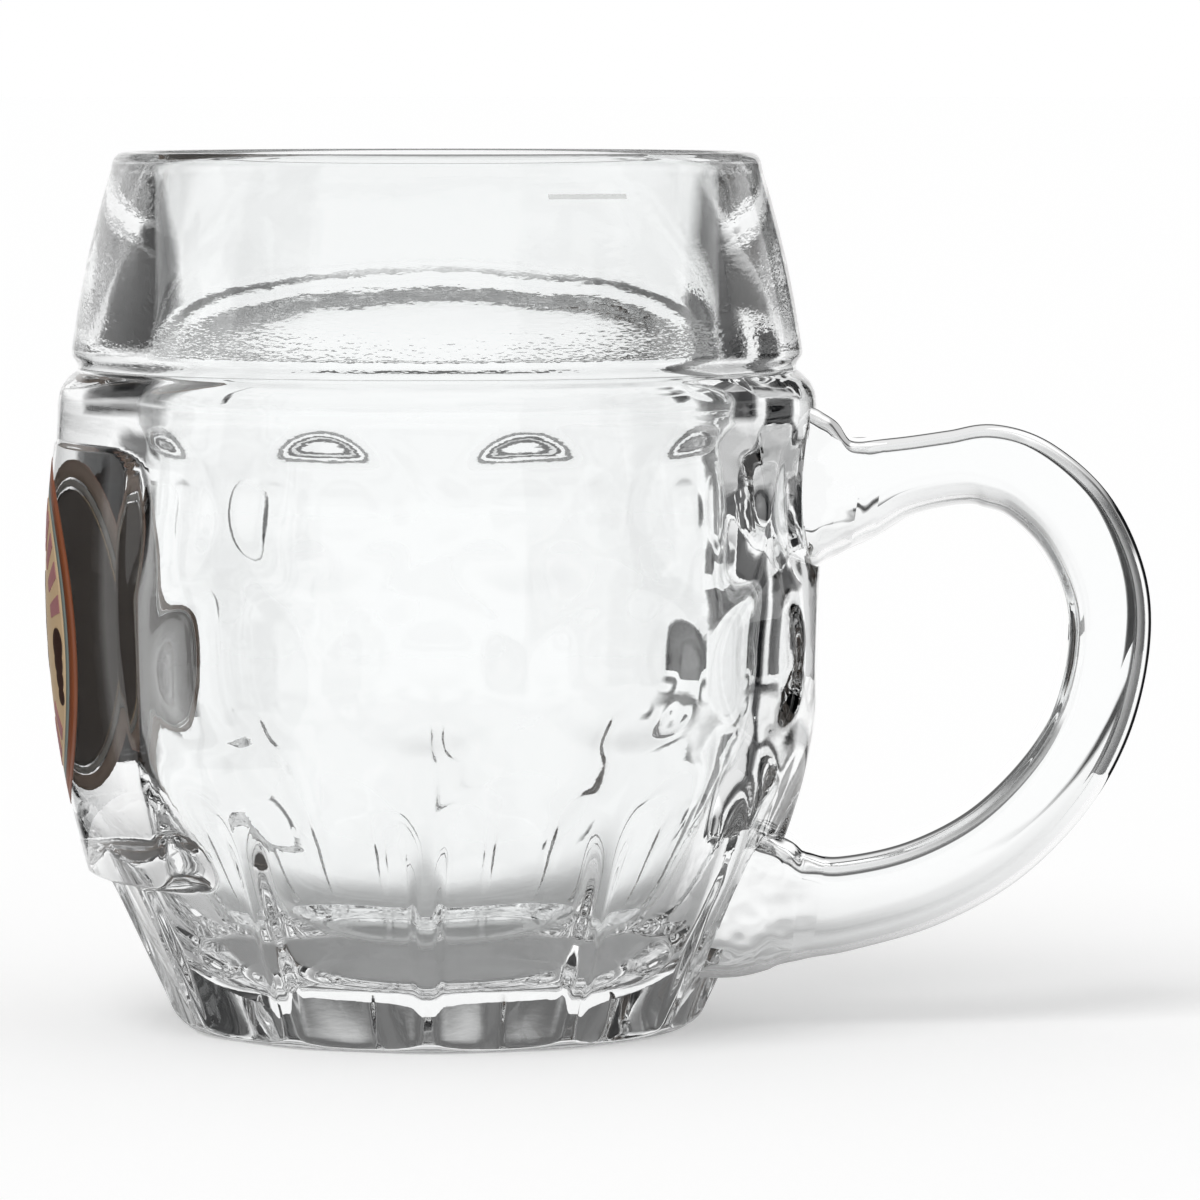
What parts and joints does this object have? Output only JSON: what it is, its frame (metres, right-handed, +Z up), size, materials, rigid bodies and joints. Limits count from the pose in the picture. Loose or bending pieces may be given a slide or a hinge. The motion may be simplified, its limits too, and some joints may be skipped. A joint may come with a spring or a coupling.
{
  "type": "dimpled glass beer mug",
  "caption": "Barrel-shaped glass beer mug with rounded dimples, a smooth lip band, a raised pad with a round enamel print, and a C-shaped glass handle.",
  "frame": {"origin": "on the bowl's axis, in the plane that the foot ring stands on", "axes": "+Z up along the bowl's axis, +X towards the middle of the handle, +Y across the handle; the label pad faces -X"},
  "size_m": [0.1581, 0.1096, 0.125],
  "materials": {
    "glass": "fire-polished clear soda-lime glass",
    "enamel_white": "fired white enamel, thin and slightly matt",
    "enamel_sand": "fired sand-coloured enamel",
    "enamel_rose": "fired rose-brown enamel",
    "enamel_dark_brown": "fired dark brown enamel",
    "enamel_grey": "fired grey-green enamel",
    "enamel_rust": "fired rust-brown enamel"
  },
  "bodies": {
    "root": {"bowl": "glass", "handle": "glass", "fill_line": "enamel_white", "emblem_field": "enamel_sand", "emblem_rays": "enamel_rose", "emblem_ear": "enamel_dark_brown", "emblem_line": "enamel_grey", "emblem_ring": "enamel_rust"}
  },
  "joints": []
}
